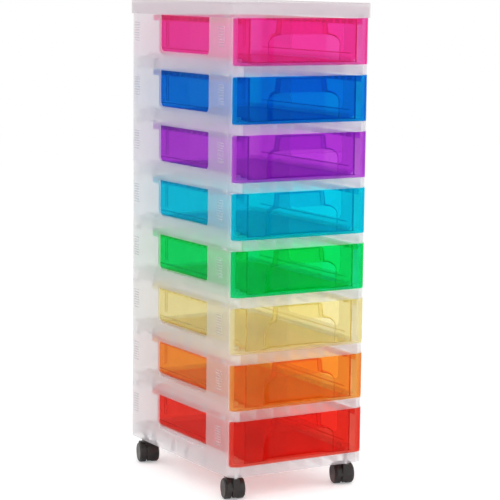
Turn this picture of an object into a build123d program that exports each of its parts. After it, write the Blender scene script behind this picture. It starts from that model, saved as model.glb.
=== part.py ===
from build123d import *
import math
import os

# A free-standing tower of eight pull-out drawers on four twin-wheel castors.
# Millimetres, +Z up, front at -Y, origin at the middle of the footprint on the floor.

# ---- tower ----
WIDTH = 300.0            # left to right
DEPTH = 420.0            # front to rear
CORNER_R = 23.0          # plan radius of every frame corner
COLOURS = ["pink", "blue", "purple", "teal", "green", "yellow", "orange", "red"]  # from the top
WALL = 2.5               # moulded wall of frames and lid
FIT = 0.3                # gap between a moving face and its seat

# ---- castors ----
CASTOR_H = 51.0          # floor to the underside of the lowest frame
STEM_X = 123.3           # stems from the middle plane
STEM_INSET = 25.0        # stems from the front and rear faces
STEM_D = 7.0
STEM_UP = 17.0           # length of the stem in its socket
STEM_DOWN = 15.0         # length of the stem in the hood
COLLAR_D = 11.0          # hexagon on the stem that meets the frame, across its corners
COLLAR_T = 1.5
SOCKET_D = 13.0          # outer size of the socket in the frame
SOCKET_SLACK = 0.02      # radial
SWIVEL_SLACK = 0.05      # radial, hood on stem
WHEEL_D = 40.0
WHEEL_W = 13.5
WHEEL_BEVEL = 2.6        # bevel between tread and outer face
WEB_T = 12.0             # hood web between the wheels
WHEEL_GAP = 0.5          # web to wheel
TRAIL = 20.5             # axle behind the stem
AXLE_D = 5.0
AXLE_SLACK = 0.05        # radial, wheel on axle
AXLE_HOLD = 0.01         # radial, axle in the web
AXLE_SHORT = 3.0         # axle ends inside the wheel's outer face
HOOD_GAP = 1.0           # fender over the tread
HOOD_T = 2.0
HOOD_IN = 4.0            # fender stops this far inside the wheel caps
BOSS_D = 12.0            # hood boss round the stem
CASTOR_YAW = 14.0        # the axles as they stand, from the left-right line
CASTORS = {"front_left": (-1, -1, 1), "front_right": (1, -1, 1),
           "rear_left": (-1, 1, -1), "rear_right": (1, 1, -1)}  # side, end, trail direction

# ---- frame module ----
PITCH = 107.0            # one module on the next
BAND_H = 19.6            # skirt band that shows between the drawer fronts
DECK_STEP = 4.7          # deck top above the band top
DECK_T = 2.0
COLUMN_W = 13.5          # front columns, from the outer face inwards
COLUMN_D = 16.0          # their depth
WRAP_DEG = 28.0          # the drawer front ends this far round the corner from the side face
WINDOW_FRONT = 94.5      # side window, from the front plane
WINDOW_REAR = 288.6
WINDOW_H = 70.0
WINDOW_R = 11.0
RIB_T = 1.6              # ribs under the deck
RIB_PITCH = 37.2
RIB_ROWS = 8             # ribs that run front to rear
RIB_RISE = 1.0           # ribs stop above the skirt's lower edge
GUIDE_T = 2.0            # rails on the deck beside each tub
GUIDE_H = 7.0
GUIDE_GAP = 0.8
TAB_H = 6.0              # locating tabs on top of the walls
TAB_L = 14.0
TAB_T = 2.0

# ---- lid ----
LID_H = 28.0
LID_R = 12.0
LID_SINK = 4.0           # panel below the rim
LID_PANEL_T = 2.5
LID_EDGE = 1.2           # softened top edge

# ---- drawer ----
FRONT_T = 2.5
FRONT_EDGE = 2.6         # cut corners of the front's ends
TUB_X = 117.3            # half width of the tub
TUB_REAR = 375.0         # rear face from the front plane
TUB_T = 2.0
TUB_R = 27.0             # plan radius of the rear corners
TUB_FOOT_R = 16.0        # rounding of the lower edges
RIM_W = 11.7             # turned-out rim
RIM_H = 11.0
RIM_T = 2.0
RIM_DROP = 1.5           # rim top below the top of the front
POCKET_X = 78.3          # half width of the finger pocket at the front
POCKET_BACK_X = 57.7     # and at its back
POCKET_D = 16.0
POCKET_FLOOR = 1.0       # floor left under the pocket
SHOULDER_Z = 30.0        # lower edge of the pull lip, below the top
SHOULDER_W = 26.0        # rounded shoulders: wide and high
SHOULDER_H = 18.0
NECK_X = 52.5            # half width of the hollow behind the lip, at the shoulder
NECK_TOP_X = 49.0        # and at its roof
NECK_ROOF = 5.0          # roof below the top

LEVELS = len(COLOURS)
DECK_TOP = BAND_H + DECK_STEP
FRONT_Y = -DEPTH / 2
WRAP_A = math.radians(WRAP_DEG)
WRAP_Y = FRONT_Y + CORNER_R * (1 - math.sin(WRAP_A))   # where a drawer front ends
FRONT_H = PITCH - BAND_H - 2 * FIT
SKIN = 60.0              # oversize of cutting blocks


def box(x0, x1, y0, y1, z0, z1):
    """Block between two corners."""
    return Pos((x0 + x1) / 2, (y0 + y1) / 2, (z0 + z1) / 2) * Box(x1 - x0, y1 - y0, z1 - z0)


def plan_block(inset, radius, z0, z1):
    """Footprint block with rounded corners, drawn in from the outer face by inset."""
    r = max(radius - inset, 0.5)
    face = RectangleRounded(WIDTH - 2 * inset, DEPTH - 2 * inset, r)
    return Pos(0, 0, z0) * extrude(face, z1 - z0)


def plan_ring(radius, z0, z1):
    return plan_block(0, radius, z0, z1) - plan_block(WALL, radius, z0 - 1, z1 + 1)


def window_cutter():
    """Both side windows: flat above, rounded lower corners."""
    y0, y1 = FRONT_Y + WINDOW_FRONT, FRONT_Y + WINDOW_REAR
    over = WINDOW_R + 1
    face = Plane.YZ * Pos((y0 + y1) / 2, PITCH + (over - WINDOW_H) / 2) * RectangleRounded(
        y1 - y0, WINDOW_H + over, WINDOW_R)
    return extrude(face, WIDTH, both=True)


def deck_ribs(z0, z1):
    """Ribs under the deck that run front to rear."""
    reach = WALL * 0.6
    out = []
    for i in range(RIB_ROWS):
        x = (i - (RIB_ROWS - 1) / 2) * RIB_PITCH
        out.append(box(x - RIB_T / 2, x + RIB_T / 2, FRONT_Y + reach, -FRONT_Y - reach, z0, z1))
    return out


def front_columns():
    """Stiff turned-in flanges behind the ends of the drawer front."""
    out = []
    y0, y1 = WRAP_Y + FIT, WRAP_Y + FIT + COLUMN_D
    for s in (-1, 1):
        xo, xi = s * (WIDTH / 2 - WALL / 2), s * (WIDTH / 2 - COLUMN_W)
        lo, hi = sorted((xo, xi))
        out.append(box(lo, hi, y0, y0 + WALL, DECK_TOP - 1, PITCH))
        lo, hi = sorted((xi, xi + s * WALL))
        out.append(box(lo, hi, y0, y1, DECK_TOP - 1, PITCH))
    return out


def locating_tabs():
    """Tabs that rise inside the skirt of the module or lid above."""
    out = []
    x1 = WIDTH / 2 - WALL
    for s in (-1, 1):
        lo, hi = sorted((s * x1, s * (x1 - TAB_T)))
        for y in (WRAP_Y + FIT + COLUMN_D + TAB_L / 2, -FRONT_Y - CORNER_R - TAB_L):
            out.append(box(lo, hi, y - TAB_L / 2, y + TAB_L / 2, PITCH - TAB_H, PITCH + TAB_H))
    return out


def guides():
    """Low rails on the deck that keep each tub straight."""
    out = []
    for s in (-1, 1):
        x0 = TUB_X + GUIDE_GAP
        lo, hi = sorted((s * x0, s * (x0 + GUIDE_T)))
        out.append(box(lo, hi, WRAP_Y + FIT + COLUMN_D, -FRONT_Y - CORNER_R, DECK_TOP - 1, DECK_TOP + GUIDE_H))
    return out


def frame_module():
    """One frame, standing on z = 0: skirt, stepped deck with ribs, side and rear walls, columns."""
    step_y = WRAP_Y + FIT
    outer = plan_block(0, CORNER_R, 0, PITCH)
    low = plan_block(WALL, CORNER_R, -1, BAND_H - DECK_T)
    under = plan_block(WALL, CORNER_R, -1, DECK_TOP - DECK_T)
    under -= box(-WIDTH, WIDTH, FRONT_Y - SKIN, step_y + WALL, -2, PITCH)
    above = plan_block(WALL, CORNER_R, DECK_TOP, PITCH + 1)
    frame = outer - low - under - above - window_cutter()
    frame += deck_ribs(RIB_RISE, DECK_TOP - DECK_T / 2)
    frame -= box(-WIDTH, WIDTH, FRONT_Y - SKIN, step_y, BAND_H, PITCH + 1)
    return frame + front_columns() + locating_tabs() + guides()


def stem_places():
    """Name, x, y and trail direction of each castor."""
    y = DEPTH / 2 - STEM_INSET
    return [(name, sx * STEM_X, sy * y, t) for name, (sx, sy, t) in CASTORS.items()]


def base_frame(frame):
    """The lowest frame also has the sockets for the castor stems."""
    bore_d = STEM_D + 2 * SOCKET_SLACK
    for _, x, y, _ in stem_places():
        frame += Pos(x, y, (DECK_TOP - DECK_T / 2) / 2) * Cylinder(SOCKET_D / 2, DECK_TOP - DECK_T / 2)
        frame -= Pos(x, y, STEM_UP / 2) * Cylinder(bore_d / 2, STEM_UP + 0.6)
    return frame


def lid():
    """Skirt with a panel sunk inside its rim, standing on z = 0."""
    block = plan_block(0, LID_R, 0, LID_H)
    block = chamfer(block.edges().group_by(Axis.Z)[-1], LID_EDGE)
    hollow = plan_block(WALL, LID_R, -1, LID_H + 1)
    panel_top = LID_H - LID_SINK
    panel = plan_block(WALL / 2, LID_R, panel_top - LID_PANEL_T, panel_top)
    return block - hollow + panel


def tub_plan(x, y0, y1, radius):
    """Plan of the tub: square in front, rounded behind."""
    face = Pos(0, (y0 + y1) / 2) * Rectangle(2 * x, y1 - y0)
    return fillet(face.vertices().group_by(Axis.Y)[-1], radius)


def tub_block(inset, z0, z1):
    """Tub body drawn in by inset, rounded behind and bevelled twice along its foot."""
    y0, y1 = FRONT_Y + FRONT_T / 2, FRONT_Y + TUB_REAR - inset
    block = Pos(0, 0, z0) * extrude(tub_plan(TUB_X - inset, y0, y1, TUB_R - inset), z1 - z0)
    foot = [e for e in block.edges().group_by(Axis.Z)[0] if e.center().Y > y0 + 0.1]
    r = TUB_FOOT_R - inset
    return chamfer(foot, r * (2 - math.sqrt(2)))


def drawer_front(z0, z1):
    """Front shell: flat in the middle, wrapped round both corners."""
    shell = plan_block(0, CORNER_R, z0, z1) - plan_block(FRONT_T, CORNER_R, z0 - 1, z1 + 1)
    y, e = WRAP_Y, FRONT_EDGE
    side = make_face(Plane.YZ * Polyline((y - SKIN, z0), (y - e, z0), (y, z0 + e), (y, z1 - e), (y - e, z1),
                                         (y - SKIN, z1), close=True))
    return shell & extrude(side, WIDTH, both=True)


def arch_outline(z_top, grow, z_low):
    """Finger pocket seen from the front, as points and curves in the XZ plane."""
    x = POCKET_X + grow
    zs = z_top - SHOULDER_Z + grow
    xn = x - SHOULDER_W
    zl = zs - SHOULDER_H
    lines = [Line((-x, z_low), (x, z_low)), Line((x, z_low), (x, zl)),
             EllipticalCenterArc((xn, zl), SHOULDER_W, SHOULDER_H, 0, arc_size=90),
             Line((xn, zs), (-xn, zs)),
             EllipticalCenterArc((-xn, zl), SHOULDER_W, SHOULDER_H, 90, arc_size=90),
             Line((-x, zl), (-x, z_low))]
    return Plane.XZ * make_face(lines)


def pocket_solid(z_top, grow, z_low):
    """Space for the fingers, and with grow its outer skin: slanted sides, and the hollow behind the lip."""
    depth = POCKET_D + grow
    slant = (POCKET_X - POCKET_BACK_X) / POCKET_D
    arch = Pos(0, FRONT_Y - 1, 0) * extrude(arch_outline(z_top, grow, z_low), -(depth + 1))
    wedge = Plane.XY * make_face(Polyline(
        (-POCKET_X - grow - slant, FRONT_Y - 1), (POCKET_X + grow + slant, FRONT_Y - 1),
        (POCKET_BACK_X + grow * (1 - slant), FRONT_Y + depth), (-POCKET_BACK_X - grow * (1 - slant), FRONT_Y + depth),
        close=True))
    arch &= Pos(0, 0, z_low - 1) * extrude(wedge, PITCH)
    zs, zr = z_top - SHOULDER_Z, z_top - NECK_ROOF + grow
    neck = Plane.XZ * make_face(Polyline(
        (-NECK_X - grow, zs - 1), (NECK_X + grow, zs - 1), (NECK_TOP_X + grow, zr), (-NECK_TOP_X - grow, zr),
        close=True))
    neck = Pos(0, FRONT_Y + FRONT_T - (FRONT_T / 2 if grow else 0), 0) * extrude(
        neck, -(depth - FRONT_T + (FRONT_T / 2 if grow else 0)))
    return arch + neck


def rim(z_top):
    """Turned-out rim of the tub: flat flange and down-turned edge."""
    top = z_top - RIM_DROP
    x1 = TUB_X + RIM_W
    y0, y1 = FRONT_Y + FRONT_T / 2, FRONT_Y + TUB_REAR + RIM_W
    ro = TUB_R + RIM_W
    outer = Pos(0, 0, top - RIM_H) * extrude(tub_plan(x1, y0, y1, ro), RIM_H)
    under = Pos(0, 0, top - RIM_H - 1) * extrude(tub_plan(x1 - RIM_T, y0, y1 - RIM_T, ro - RIM_T), RIM_H + 1 - RIM_T)
    return outer - under


def drawer():
    """One drawer in the position it has in a frame that stands on z = 0."""
    z0, z1 = BAND_H + FIT, BAND_H + FIT + FRONT_H
    floor = DECK_TOP + FIT
    tub = tub_block(0, floor, z1 - RIM_DROP)
    inside = tub_block(TUB_T, floor + TUB_T, z1 + 1)
    inside -= box(-WIDTH, WIDTH, FRONT_Y - 1, FRONT_Y + FRONT_T, z0 - 1, z1 + 2)
    body = (tub + rim(z1)) - inside
    skin = pocket_solid(z1, TUB_T, floor)
    skin &= box(-TUB_X, TUB_X, FRONT_Y + FRONT_T / 2, 0, floor, z1 - RIM_DROP)
    whole = body + skin + drawer_front(z0, z1)
    return whole - pocket_solid(z1, 0, floor + POCKET_FLOOR)


def castor_stem():
    """Steel pin with a hexagon collar, in castor axes: z = 0 at the frame's underside."""
    pin = Pos(0, 0, (STEM_UP - stem_reach()) / 2) * Cylinder(STEM_D / 2, STEM_UP + stem_reach())
    return pin + Pos(0, 0, -COLLAR_T) * extrude(RegularPolygon(COLLAR_D / 2, 6), COLLAR_T)


def hood_top():
    """Top of the hood below the frame's underside."""
    return CASTOR_H - WHEEL_D - HOOD_GAP - HOOD_T


def stem_reach():
    return hood_top() + STEM_DOWN


def axle_place():
    """Middle of the axle in castor axes."""
    return (0, TRAIL, WHEEL_D / 2 - CASTOR_H)


def hood():
    """Web between the wheels with the stem boss, and a fender over both treads."""
    _, ay, az = axle_place()
    r_in = WHEEL_D / 2 + HOOD_GAP
    r_out = r_in + HOOD_T
    across = Plane.YZ
    web = across * Pos(ay, az) * Circle(r_out)
    web = extrude(web, WEB_T / 2, both=True)
    arch = Pos(0, ay, az - r_out) * Box(WEB_T * 2, r_out * 1.5, 2 * (r_out * 0.42))
    web -= arch
    boss_h = STEM_DOWN + 3
    web += Pos(0, 0, -hood_top() - boss_h / 2) * Box(WEB_T, BOSS_D, boss_h)
    span = WEB_T / 2 + WHEEL_GAP + WHEEL_W - HOOD_IN
    ring = across * Pos(ay, az) * (Circle(r_out) - Circle(r_in))
    fender = extrude(ring, span, both=True)
    fender &= Pos(0, ay - r_out / 2, az + r_out / 2) * Box(2 * span + 2, r_out * 1.6, r_out * 1.1)
    body = web + fender
    body -= Pos(0, 0, -hood_top() - STEM_DOWN / 2 + 1) * Cylinder(STEM_D / 2 + SWIVEL_SLACK, STEM_DOWN + 3)
    body -= Pos(0, ay, az) * Rot(0, 90, 0) * Cylinder(AXLE_D / 2 + AXLE_HOLD, WEB_T + 2)
    return body


def axle():
    half = WEB_T / 2 + WHEEL_GAP + WHEEL_W - AXLE_SHORT
    return Pos(*axle_place()) * Rot(0, 90, 0) * Cylinder(AXLE_D / 2, 2 * half)


def wheel(side):
    """Twin-castor wheel: a disc with a bevelled outer edge and a blind bore."""
    r, w = WHEEL_D / 2, WHEEL_W
    bore_r, bore = AXLE_D / 2 + AXLE_SLACK, WHEEL_W - AXLE_SHORT + 0.5
    line = Polyline((0, bore), (bore_r, bore), (bore_r, 0), (r, 0), (r, w - WHEEL_BEVEL),
                    (r - WHEEL_BEVEL, w), (0, w), close=True)
    body = revolve(Plane.XZ * make_face(line), Axis.Z)
    turn = Rot(0, 90, 0) if side > 0 else Rot(0, -90, 0)
    x, y, z = axle_place()
    return Pos(side * (WEB_T / 2 + WHEEL_GAP), y, z) * turn * body


def save(shape, name):
    shape.label = name
    export_step(shape, f"parts/{name}.step")


def main():
    os.makedirs("parts", exist_ok=True)
    module = frame_module()
    box_drawer = drawer()
    for i, colour in enumerate(COLOURS):
        z = CASTOR_H + (LEVELS - 1 - i) * PITCH
        frame = base_frame(module) if i == LEVELS - 1 else module
        save(Pos(0, 0, z) * frame, f"frame_{i + 1}")
        save(Pos(0, 0, z) * box_drawer, f"drawer_{colour}")
    save(Pos(0, 0, CASTOR_H + LEVELS * PITCH) * lid(), "top_lid")
    for name, x, y, trail in stem_places():
        turn = Rot(0, 0, -CASTOR_YAW + (0 if trail > 0 else 180))
        place = Pos(x, y, CASTOR_H)
        save(place * castor_stem(), f"castor_stem_{name}")
        save(place * turn * hood(), f"castor_hood_{name}")
        save(place * turn * axle(), f"castor_axle_{name}")
        for side, tag in ((-1, "left"), (1, "right")):
            s = side if trail > 0 else -side
            save(place * turn * wheel(s), f"castor_wheel_{name}_{tag}")


main()
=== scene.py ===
import math

import bmesh
import bpy
from mathutils import Matrix, Vector


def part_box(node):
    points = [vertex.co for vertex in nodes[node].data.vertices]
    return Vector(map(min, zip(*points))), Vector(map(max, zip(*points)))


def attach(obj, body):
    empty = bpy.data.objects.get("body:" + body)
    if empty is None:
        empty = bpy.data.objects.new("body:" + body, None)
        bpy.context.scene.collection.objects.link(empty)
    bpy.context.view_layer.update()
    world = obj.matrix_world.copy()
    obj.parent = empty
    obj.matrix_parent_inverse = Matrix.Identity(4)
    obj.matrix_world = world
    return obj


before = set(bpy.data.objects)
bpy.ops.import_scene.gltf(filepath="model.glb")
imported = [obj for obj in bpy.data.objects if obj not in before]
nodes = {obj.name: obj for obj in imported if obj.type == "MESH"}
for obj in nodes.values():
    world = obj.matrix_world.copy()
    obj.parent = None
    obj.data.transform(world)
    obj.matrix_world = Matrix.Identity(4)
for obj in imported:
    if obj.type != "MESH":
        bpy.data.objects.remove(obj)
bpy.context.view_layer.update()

MM = 0.001
SIDES = (-1, 1)                             # left and right
WHITE = (1, 1, 1, 1)
PLASTIC_IOR = 1.49
NOISE_RANGE = (0.3, 0.7)                    # most values of a noise texture lie between these

# drawers from the top: what each plastic lets through over TINT_PATH, and the colour of its surface
TINTS = {
    "pink": ((0.98, 0.37, 0.74), (0.95, 0.05, 0.41)),
    "blue": ((0.03, 0.58, 0.93), (0.0, 0.25, 0.69)),
    "purple": ((0.82, 0.36, 0.92), (0.52, 0.05, 0.69)),
    "teal": ((0.04, 0.88, 0.96), (0.0, 0.56, 0.71)),
    "green": ((0.07, 0.94, 0.53), (0.0, 0.74, 0.16)),
    "yellow": ((0.985, 0.955, 0.76), (0.98, 0.84, 0.44)),
    "orange": ((0.99, 0.71, 0.33), (0.99, 0.31, 0.035)),
    "red": ((0.97, 0.32, 0.25), (0.94, 0.035, 0.022)),
}
TINT_PATH = 2 * MM
EDGE_DEPTH_AND_SHADE = 4                              # a moulded edge is as deep in colour as this many walls: partly its thicker plastic, partly painted shade
EDGE_SHADED_SURFACE = 0.6                          # share of the surface's colour that an edge keeps; the darkening is painted shade

# the clear part of a frame's front band, measured from the frame's front, middle and foot
BAND_DEPTH, BAND_HALF, BAND_TOP = 0.006, 0.13, 0.02


# ---------- materials ----------
class Tree:
    """The nodes of a material or of the world, added one by one."""

    def __init__(self, owner, output="ShaderNodeOutputMaterial"):
        owner.use_nodes = True
        self.owner = owner
        self.nodes = owner.node_tree.nodes
        self.links = owner.node_tree.links
        self.nodes.clear()
        self.out = self.add(output)

    def add(self, kind, sockets=None, **settings):
        """A node, with constants on its sockets and settings of its own."""
        node = self.nodes.new(kind)
        for key, value in settings.items():
            setattr(node, key, value)
        for key, value in (sockets or {}).items():
            node.inputs[key].default_value = value
        return node

    def link(self, a, b):
        self.links.new(a, b)

    def noise(self, scale, detail):
        """Noise in object coordinates, which are the row frame's metres."""
        place = self.add("ShaderNodeTexCoord")
        node = self.add("ShaderNodeTexNoise", {"Scale": scale, "Detail": detail})
        self.link(place.outputs["Object"], node.inputs["Vector"])
        return node.outputs["Fac"]

    def ramp(self, fac, low, high):
        """A colour that goes from low to high with the noise."""
        node = self.add("ShaderNodeValToRGB")
        for element, place, colour in zip(node.color_ramp.elements, NOISE_RANGE, (low, high)):
            element.position = place
            element.color = (*colour, 1)
        self.link(fac, node.inputs["Fac"])
        return node.outputs["Color"]

    def span(self, fac, low, high):
        """A number that goes from low to high with the noise."""
        start, end = NOISE_RANGE
        sockets = {"From Min": start, "From Max": end, "To Min": low, "To Max": high}
        node = self.add("ShaderNodeMapRange", sockets)
        self.link(fac, node.inputs["Value"])
        return node.outputs["Result"]

    def bump(self, height, strength, distance):
        node = self.add("ShaderNodeBump", {"Strength": strength, "Distance": distance})
        self.link(height, node.inputs["Height"])
        return node.outputs["Normal"]

    def mix(self, fac, a, b):
        """Shader a, with the share fac of shader b. The share is a number or a socket."""
        node = self.add("ShaderNodeMixShader")
        if isinstance(fac, float):
            node.inputs["Fac"].default_value = fac
        else:
            self.link(fac, node.inputs["Fac"])
        self.link(a, node.inputs[1])
        self.link(b, node.inputs[2])
        return node.outputs["Shader"]

    def either(self, a, b):
        """1 where a or b is 1."""
        node = self.add("ShaderNodeMath", operation="MAXIMUM")
        self.link(a, node.inputs[0])
        self.link(b, node.inputs[1])
        return node.outputs["Value"]


def darker(colour, share):
    return tuple(c * share for c in colour)


def principled(tree, colour, rough, normal=None):
    p = tree.add("ShaderNodeBsdfPrincipled")
    tree.link(colour, p.inputs["Base Color"])
    tree.link(rough, p.inputs["Roughness"])
    if normal is not None:
        tree.link(normal, p.inputs["Normal"])
    return p


def clear_behind(tree, shader):
    """A moulded wall has two faces: light is changed where it enters, and leaves freely.

    It leaves by refraction that bends nothing, as the renderer allows only a few
    crossings of transparent faces.
    """
    geometry = tree.add("ShaderNodeNewGeometry")
    leave = tree.add("ShaderNodeBsdfRefraction", {"Color": WHITE, "IOR": 1.0, "Roughness": 0.0})
    return tree.mix(geometry.outputs["Backfacing"], shader, leave.outputs["BSDF"])


def frosted(name, colour, see, through):
    """Milky moulding: a surface, light that scatters through it, and a share that is seen through."""
    t = Tree(bpy.data.materials.new(name))
    cloud = t.noise(scale=9.0, detail=4.0)
    grain = t.noise(scale=900.0, detail=2.0)
    tone = t.ramp(cloud, darker(colour, 0.95), colour)
    body = principled(t, tone, t.span(grain, 0.36, 0.50), t.bump(grain, strength=0.10, distance=0.4 * MM))
    body.inputs["IOR"].default_value = PLASTIC_IOR
    glow = t.add("ShaderNodeBsdfTranslucent")
    t.link(tone, glow.inputs["Color"])
    clear = t.add("ShaderNodeBsdfTransparent", {"Color": (0.97, 0.975, 0.98, 1)})
    solid = t.mix(through, body.outputs["BSDF"], glow.outputs["BSDF"])
    t.link(clear_behind(t, t.mix(see, solid, clear.outputs["BSDF"])), t.out.inputs["Surface"])
    return t.owner


def absorption(tree, passed):
    """Plastic that lets the colour passed through over TINT_PATH, and less over a longer way."""
    losses = [-math.log(c) / TINT_PATH for c in passed]
    density = max(losses) * 1.02            # a little over the largest, so that no channel is zero
    colour = (*[1 - loss / density for loss in losses], 1)
    node = tree.add("ShaderNodeVolumeAbsorption", {"Color": colour, "Density": density})
    tree.link(node.outputs["Volume"], tree.out.inputs["Volume"])


def tinted(name, passed, surface, milk=0.20):
    """See-through coloured plastic, a little milky, with a gloss of its own colour."""
    t = Tree(bpy.data.materials.new(name))
    cloud = t.noise(scale=14.0, detail=3.0)
    grain = t.noise(scale=500.0, detail=2.0)
    colour = t.ramp(cloud, darker(surface, 0.93), surface)
    wave = t.bump(cloud, strength=0.05, distance=2 * MM)
    body = principled(t, colour, t.span(grain, 0.13, 0.22), wave)
    body.inputs["IOR"].default_value = PLASTIC_IOR
    body.inputs["Specular IOR Level"].default_value = 0.2
    glow = t.add("ShaderNodeBsdfTranslucent")
    t.link(colour, glow.inputs["Color"])
    milky = t.mix(0.5, body.outputs["BSDF"], glow.outputs["BSDF"])
    clear = t.add("ShaderNodeBsdfTransparent", {"Color": WHITE})
    gloss = t.add("ShaderNodeBsdfAnisotropic", {"Color": (*passed, 1)})
    t.link(t.span(grain, 0.10, 0.18), gloss.inputs["Roughness"])
    t.link(wave, gloss.inputs["Normal"])
    edge = t.add("ShaderNodeFresnel", {"IOR": PLASTIC_IOR})
    skin = t.mix(edge.outputs["Fac"], clear.outputs["BSDF"], gloss.outputs["BSDF"])
    t.link(clear_behind(t, t.mix(milk, skin, milky)), t.out.inputs["Surface"])
    absorption(t, passed)
    return t.owner


def moulded(name, colour, rough):
    """Opaque moulded plastic with a fine grain and a slightly uneven tone."""
    t = Tree(bpy.data.materials.new(name))
    cloud = t.noise(scale=60.0, detail=4.0)
    grain = t.noise(scale=2500.0, detail=2.0)
    tone = t.ramp(cloud, darker(colour, 0.75), colour)
    wear = t.span(cloud, rough - 0.07, rough + 0.1)
    p = principled(t, tone, wear, t.bump(grain, strength=0.15, distance=0.2 * MM))
    t.link(p.outputs["BSDF"], t.out.inputs["Surface"])
    return t.owner


def plated(name):
    """Bright plated steel."""
    t = Tree(bpy.data.materials.new(name))
    cloud = t.noise(scale=180.0, detail=3.0)
    tone = t.ramp(cloud, (0.55, 0.55, 0.56), (0.78, 0.78, 0.78))
    p = principled(t, tone, t.span(cloud, 0.2, 0.36))
    p.inputs["Metallic"].default_value = 1.0
    t.link(p.outputs["BSDF"], t.out.inputs["Surface"])
    return t.owner


frame_mat = frosted("frame_white", (0.84, 0.83, 0.845), see=0.45, through=0.5)
band_mat = frosted("frame_band", (0.80, 0.78, 0.81), see=0.58, through=0.5)
lid_mat = frosted("lid_white", (0.63, 0.57, 0.60), see=0.45, through=0.4)
castor_mat = moulded("castor_black", (0.020, 0.015, 0.014), 0.34)
steel_mat = plated("steel")
tint_mats = {c: tinted("tint_" + c, *tint) for c, tint in TINTS.items()}


def paint(obj, mat):
    obj.data.materials.clear()
    obj.data.materials.append(mat)
    for p in obj.data.polygons:
        p.material_index = 0


def clear_band(obj):
    """The front band of a frame is clearer than the rest."""
    obj.data.materials.append(band_mat)
    front = min(v.co.y for v in obj.data.vertices)
    low = min(v.co.z for v in obj.data.vertices)
    for p in obj.data.polygons:
        near = p.center.y < front + BAND_DEPTH
        inner = abs(p.center.x) < BAND_HALF
        if near and inner and p.center.z < low + BAND_TOP:
            p.material_index = 1


for name, obj in nodes.items():
    if name.startswith("frame_"):
        paint(obj, frame_mat)
        clear_band(obj)
    elif name == "top_lid":
        paint(obj, lid_mat)
    elif name.startswith("drawer_"):
        colour = name.removeprefix("drawer_")
        paint(obj, tint_mats[colour])
    elif "stem" in name or "axle" in name:
        paint(obj, steel_mat)
    else:
        paint(obj, castor_mat)

# ---------- sizes of the frames and drawers, as in the CAD ----------
WIDTH, DEPTH, PITCH = 300 * MM, 420 * MM, 107 * MM
FRONT_Y = -DEPTH / 2
DECK_TOP, WALL = 24.3 * MM, 2.5 * MM
DRAWER_FOOT = DECK_TOP + 0.3 * MM           # underside of a drawer in its module
DRAWER_TOP = PITCH - 0.3 * MM
FRONT_T = 2.5 * MM
TUB_X, TUB_REAR = 117.3 * MM, 375 * MM      # the tub's side and rear, from the middle and the front
TUB_R = 27 * MM                             # rounding of the tub's rear corners
FOOT_R = 16 * MM                            # rounding along the foot of the tub
RIM_H = 11 * MM
POCKET_X, POCKET_BACK_X, POCKET_D = 78.3 * MM, 57.7 * MM, 16 * MM
SHOULDER_Z, SHOULDER_W, SHOULDER_H = 30 * MM, 26 * MM, 18 * MM
NECK_X, NECK_TOP_X, NECK_ROOF = 52.5 * MM, 49 * MM, 5 * MM

# ---------- sizes of the details, which are too fine for the CAD ----------
POCKET_BEAD, TUB_BEAD, CORNER_BEAD = 0.9 * MM, 0.95 * MM, 1.8 * MM      # radii
ARCH_IN, ARCH_FOOT = 1.2 * MM, 1.5 * MM     # arch: depth in the front, height of its ends
SOLE_UP = 1 * MM                            # height of the line along the pocket's foot
ARC_STEPS = 8
IN_WALL = 1 * MM                            # depth of a line in the tub's wall
TWIN_GAP = 4 * MM                           # between the two lines at a rear corner
SIDE_LINE_START = 24 * MM                   # from the front
CORNER_IN, CORNER_UNDER = 1.6 * MM, 2 * MM  # inside corner: behind the front, under its top
PLATE_HALF, PLATE_BEVEL = 0.8 * MM, 0.25 * MM
WEB_COUNT, WEB_FIRST, WEB_PITCH = 14, 34 * MM, 23.5 * MM
WEB_OUT, WEB_UNDER = 10 * MM, 3 * MM        # reach out of the tub, distance under the drawer's top
GRIP_MIDS = (48 * MM, 385 * MM)             # from the front
GRIP_COUNT, GRIP_FIRST, GRIP_PITCH = 8, 17 * MM, 5 * MM
GRIP_HALF, GRIP_HALF_H = 10 * MM, 1.1 * MM
GRIP_IN, GRIP_OUT = 0.3 * MM, 0.6 * MM      # in the side wall and out of it
GUSSETS = (108, 181, 238, 320)              # mm from the front
GUSSET_IN = 11 * MM                         # reach in from the side
GUSSET_LOW, GUSSET_UNDER = 1.2 * MM, 2 * MM


def levels():
    """Body, colour and height of each module, from the top."""
    return [(f"drawer_{c}", c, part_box(f"frame_{i + 1}")[0].z) for i, c in enumerate(TINTS)]


def keep(name, mesh, mat, body):
    """Adds the mesh as a piece that rides on the body."""
    obj = bpy.data.objects.new(name, mesh)
    bpy.context.scene.collection.objects.link(obj)
    mesh.materials.append(mat)
    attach(obj, body)


def beads(name, paths, radius, mat, body):
    """Round beads along several paths, as one mesh."""
    curve = bpy.data.curves.new(name, "CURVE")
    curve.dimensions = "3D"
    curve.bevel_depth = radius
    curve.bevel_resolution = 1
    curve.use_fill_caps = True
    for points in paths:
        line = curve.splines.new("POLY")
        line.points.add(len(points) - 1)
        for p, q in zip(line.points, points):
            p.co = (*q, 1)
    tmp = bpy.data.objects.new(name, curve)
    mesh = bpy.data.meshes.new_from_object(tmp)
    bpy.data.objects.remove(tmp)
    for p in mesh.polygons:
        p.use_smooth = True
    keep(name, mesh, mat, body)


def plates(name, boxes, mat, body):
    """Thin plates with bevelled edges, as one mesh. Each box is two corners."""
    bm = bmesh.new()
    for lo, hi in boxes:
        size = Vector(hi) - Vector(lo)
        place = Matrix.Translation((Vector(hi) + Vector(lo)) / 2) @ Matrix.Diagonal((*size, 1))
        bmesh.ops.create_cube(bm, size=1, matrix=place)
    bmesh.ops.bevel(bm, geom=bm.edges[:], offset=PLATE_BEVEL, segments=1, affect="EDGES")
    mesh = bpy.data.meshes.new(name)
    bm.to_mesh(mesh)
    bm.free()
    keep(name, mesh, mat, body)


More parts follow.
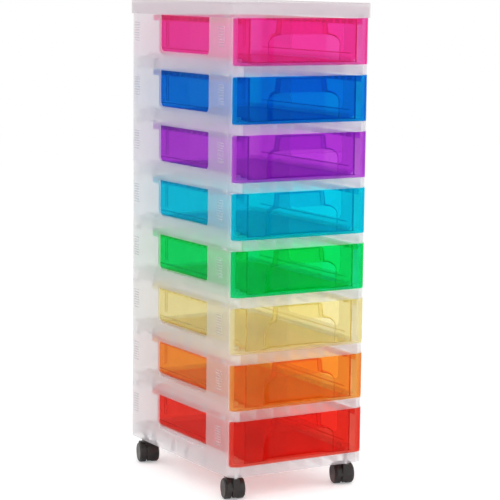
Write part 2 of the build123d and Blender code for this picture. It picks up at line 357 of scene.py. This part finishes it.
def side_box(side, xs, ys, zs):
    """The two corners of a box on one side, its xs measured out from the middle."""
    x0, x1 = sorted(side * x for x in xs)
    return (x0, ys[0], zs[0]), (x1, ys[1], zs[1])


def quarter(cx, cz, rx, rz):
    """A quarter of an ellipse, from its right end to its top."""
    angles = [math.radians(90 * i / ARC_STEPS) for i in range(ARC_STEPS + 1)]
    return [(cx + rx * math.cos(a), cz + rz * math.sin(a)) for a in angles]


def pocket_lines(z):
    """Moulded edges of the finger pocket: arch, neck and the pocket's foot, drawn as dark beads of
    painted shade.
    """
    y = FRONT_Y + ARCH_IN
    top, foot = z + DRAWER_TOP, z + DRAWER_FOOT + ARCH_FOOT
    shoulder = top - SHOULDER_Z
    right = [(POCKET_X, foot)]
    right += quarter(POCKET_X - SHOULDER_W, shoulder - SHOULDER_H, SHOULDER_W, SHOULDER_H)
    paths = []
    for s in SIDES:
        arch = [(s * x, y, h) for x, h in right]
        neck = [[(s * NECK_X, y + d, shoulder), (s * NECK_TOP_X, y + d, top - NECK_ROOF)]
                for d in (FRONT_T, POCKET_D)]
        paths += [arch + neck[0], neck[1]]
    half = [(POCKET_BACK_X, POCKET_D), (POCKET_X, 0), (TUB_X, 0)]
    sole = [(-x, d) for x, d in reversed(half)] + half
    paths.append([(x, y + FRONT_T / 2 + d, z + DRAWER_FOOT + SOLE_UP) for x, d in sole])
    return paths


def tub_shade_lines(z):
    """Dark lines of painted shade where the roundings of the tub's rear corners and of its foot meet its
    flat walls.
    """
    corner_x, rear_y = TUB_X - TUB_R, FRONT_Y + TUB_REAR - IN_WALL
    foot, high = z + DRAWER_FOOT + FOOT_R, z + DRAWER_TOP - RIM_H
    paths = []
    for s in SIDES:
        for x in (corner_x, corner_x - TWIN_GAP):
            paths.append([(s * x, rear_y, high), (s * x, rear_y, foot)])
        side = s * (TUB_X - IN_WALL)
        paths.append([(side, FRONT_Y + TUB_REAR - TUB_R, foot), (side, FRONT_Y + SIDE_LINE_START, foot)])
    return paths


def front_corners(z):
    """Rounded inside corners between the front and the tub's sides, drawn as dark beads of painted shade.
    """
    x, y = TUB_X - IN_WALL, FRONT_Y + FRONT_T + CORNER_IN
    low, high = z + DRAWER_FOOT, z + DRAWER_TOP - CORNER_UNDER
    return [[(s * x, y, low), (s * x, y, high)] for s in SIDES]


def rim_webs(z):
    """Small webs under the turned-out rim."""
    out = []
    zs = (z + DRAWER_TOP - RIM_H, z + DRAWER_TOP - WEB_UNDER)
    for s in SIDES:
        for i in range(WEB_COUNT):
            y = FRONT_Y + WEB_FIRST + i * WEB_PITCH
            out.append(side_box(s, (TUB_X, TUB_X + WEB_OUT), (y - PLATE_HALF, y + PLATE_HALF), zs))
    return out


def grip_ribs(z):
    """Two groups of short level ribs on each side wall."""
    out = []
    xs = (WIDTH / 2 - GRIP_IN, WIDTH / 2 + GRIP_OUT)
    for s in SIDES:
        for mid in GRIP_MIDS:
            ys = (FRONT_Y + mid - GRIP_HALF, FRONT_Y + mid + GRIP_HALF)
            for i in range(GRIP_COUNT):
                h = z + PITCH - GRIP_FIRST - i * GRIP_PITCH
                out.append(side_box(s, xs, ys, (h - GRIP_HALF_H, h + GRIP_HALF_H)))
    return out


def skirt_ribs(z):
    """Gussets inside the side skirts."""
    out = []
    xs = (WIDTH / 2 - WALL * 0.6, WIDTH / 2 - GUSSET_IN)
    zs = (z + GUSSET_LOW, z + DECK_TOP - GUSSET_UNDER)
    for s in SIDES:
        for distance in GUSSETS:
            y = FRONT_Y + distance * MM
            out.append(side_box(s, xs, (y - PLATE_HALF, y + PLATE_HALF), zs))
    return out


def edge_tint_and_shade(colour):
    """The drawer's plastic where a moulded edge is thick: deeper, and more milky. The deeper tint and the
    darker surface are partly the thicker plastic and partly painted shade for the dark lines along the
    edges.
    """
    passed, surface = TINTS[colour]
    deep = tuple(v ** EDGE_DEPTH_AND_SHADE for v in passed)
    return tinted("edge_" + colour, deep, darker(surface, EDGE_SHADED_SURFACE), milk=0.5)


edge_shade_mats = {c: edge_tint_and_shade(c) for c in TINTS}
# Ribs and gussets are painted darker than the frame's white: painted shade along them.
rib_shade_mat = frosted("frame_rib_shade", (0.56, 0.55, 0.59), see=0.42, through=0.3)

for body, colour, z in levels():
    # The beads and webs take the edge material: painted shade, dark lines along the drawer's moulded
    # edges.
    edge = edge_shade_mats[colour]
    beads(f"pocket_lines_{colour}", pocket_lines(z), POCKET_BEAD, edge, body)
    beads(f"tub_shade_lines_{colour}", tub_shade_lines(z), TUB_BEAD, edge, body)
    beads(f"front_corners_{colour}", front_corners(z), CORNER_BEAD, edge, body)
    plates(f"rim_webs_{colour}", rim_webs(z), edge, body)
    plates(f"grip_ribs_{colour}", grip_ribs(z), rib_shade_mat, "tower")
    plates(f"skirt_ribs_{colour}", skirt_ribs(z), rib_shade_mat, "tower")

# ---------- stage ----------
WORLD_LIGHT = 0.95                          # strength of the white surroundings as a light
FLOOR_GREY, FLOOR_GLOW = 0.86, 0.30
FLOOR_HALF, FLOOR_Z = 6.0, -0.5 * MM        # a hair under the wheels
LAMP_AIM = (0, 0, 0.5)

# camera, as fitted to the photograph
AZIMUTH, ELEVATION, ROLL = math.radians(-30.51), math.radians(7.94), math.radians(0.66)
CAMERA_PLACE = (-1.932, -3.297, 0.9809)
SENSOR = 36.0                               # millimetres
FOCAL = 3.915                               # in widths of the sensor
CLIP_END = 50


def surroundings():
    """White all round, full white where it is seen directly, mirrored or through plastic."""
    t = Tree(bpy.data.worlds.new("studio"), "ShaderNodeOutputWorld")
    path = t.add("ShaderNodeLightPath")
    light = t.add("ShaderNodeBackground", {"Color": WHITE, "Strength": WORLD_LIGHT})
    white = t.add("ShaderNodeBackground", {"Color": WHITE, "Strength": 1.0})
    seen = t.either(path.outputs["Is Camera Ray"], path.outputs["Is Glossy Ray"])
    seen = t.either(seen, path.outputs["Is Transmission Ray"])
    t.link(t.mix(seen, light.outputs[0], white.outputs[0]), t.out.inputs["Surface"])
    bpy.context.scene.world = t.owner


def floor_material():
    """Light grey, lifted towards white where it is seen directly or through plastic."""
    t = Tree(bpy.data.materials.new("studio_floor"))
    path = t.add("ShaderNodeLightPath")
    base = t.add("ShaderNodeBsdfDiffuse", {"Color": (FLOOR_GREY, FLOOR_GREY, FLOOR_GREY, 1)})
    lift = t.add("ShaderNodeEmission", {"Color": WHITE, "Strength": FLOOR_GLOW})
    both = t.add("ShaderNodeAddShader")
    t.link(base.outputs[0], both.inputs[0])
    t.link(lift.outputs[0], both.inputs[1])
    seen = t.either(path.outputs["Is Camera Ray"], path.outputs["Is Transmission Ray"])
    t.link(t.mix(seen, base.outputs[0], both.outputs[0]), t.out.inputs["Surface"])
    return t.owner


def floor():
    mesh = bpy.data.meshes.new("studio_floor")
    corners = [(-1, -1), (1, -1), (1, 1), (-1, 1)]
    mesh.from_pydata([(x * FLOOR_HALF, y * FLOOR_HALF, FLOOR_Z) for x, y in corners], [], [(0, 1, 2, 3)])
    obj = bpy.data.objects.new("studio_floor", mesh)
    bpy.context.scene.collection.objects.link(obj)
    mesh.materials.append(floor_material())


def lamp(name, place, size, watts):
    """A round soft lamp that points at LAMP_AIM."""
    data = bpy.data.lights.new(name, "AREA")
    data.shape = "DISK"
    data.size = size
    data.energy = watts
    obj = bpy.data.objects.new(name, data)
    obj.location = place
    obj.rotation_euler = (Vector(LAMP_AIM) - Vector(place)).to_track_quat("-Z", "Y").to_euler()
    bpy.context.scene.collection.objects.link(obj)


def camera():
    data = bpy.data.cameras.new("camera")
    data.sensor_width = SENSOR
    data.lens = FOCAL * SENSOR
    data.clip_end = CLIP_END
    cam = bpy.data.objects.new("camera", data)
    out = math.cos(ELEVATION)
    back = Vector((math.sin(AZIMUTH) * out, -math.cos(AZIMUTH) * out, math.sin(ELEVATION)))
    level = (-back).cross(Vector((0, 0, 1))).normalized()
    upright = level.cross(-back)
    right = level * math.cos(ROLL) + upright * math.sin(ROLL)
    up = -level * math.sin(ROLL) + upright * math.cos(ROLL)
    turn = Matrix((right, up, back)).transposed().to_4x4()
    cam.matrix_world = Matrix.Translation(CAMERA_PLACE) @ turn
    bpy.context.scene.collection.objects.link(cam)
    bpy.context.scene.camera = cam


surroundings()
floor()
lamp("key", place=(-1.6, -2.6, 2.6), size=1.6, watts=38)
lamp("fill", place=(2.4, -1.6, 1.4), size=1.8, watts=12)
camera()
bpy.context.scene.view_settings.view_transform = "Standard"
